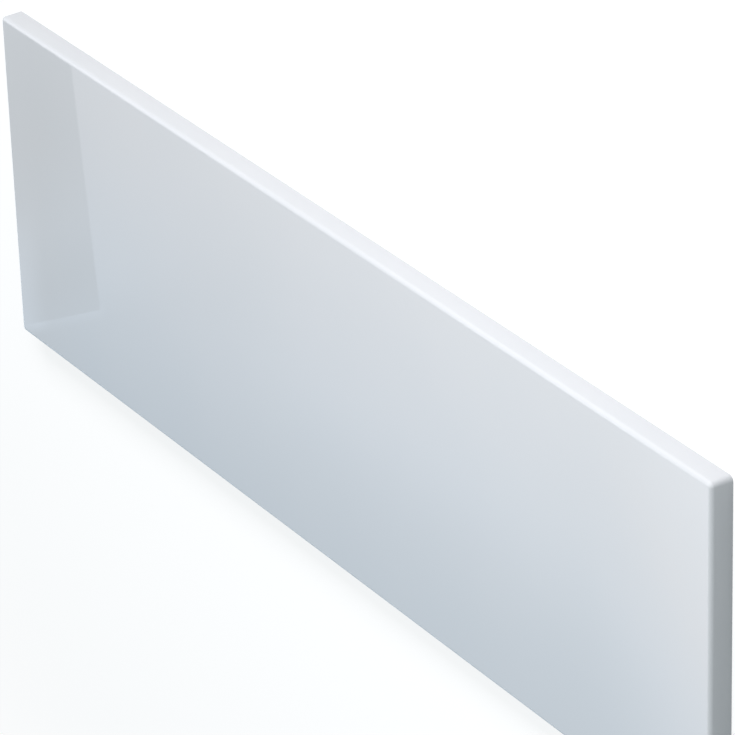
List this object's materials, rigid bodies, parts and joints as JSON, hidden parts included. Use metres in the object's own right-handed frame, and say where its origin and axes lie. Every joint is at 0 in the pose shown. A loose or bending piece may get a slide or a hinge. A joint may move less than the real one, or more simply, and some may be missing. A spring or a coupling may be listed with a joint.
{
  "type": "bath panel",
  "caption": "Long gloss white front panel for a straight bath: a flat face with rounded edges returned all round and an open back.",
  "frame": {"origin": "middle of the floor footprint, on the plane of the back rim", "axes": "+X along the bath, +Y towards the edge that tucks under the bath's rim, +Z out of the show face; the panel lies on its back rim with the show face up"},
  "size_m": [1.7, 0.51, 0.032],
  "materials": {
    "acrylic": "gloss"
  },
  "bodies": {
    "root": {"panel": "acrylic"}
  },
  "joints": []
}
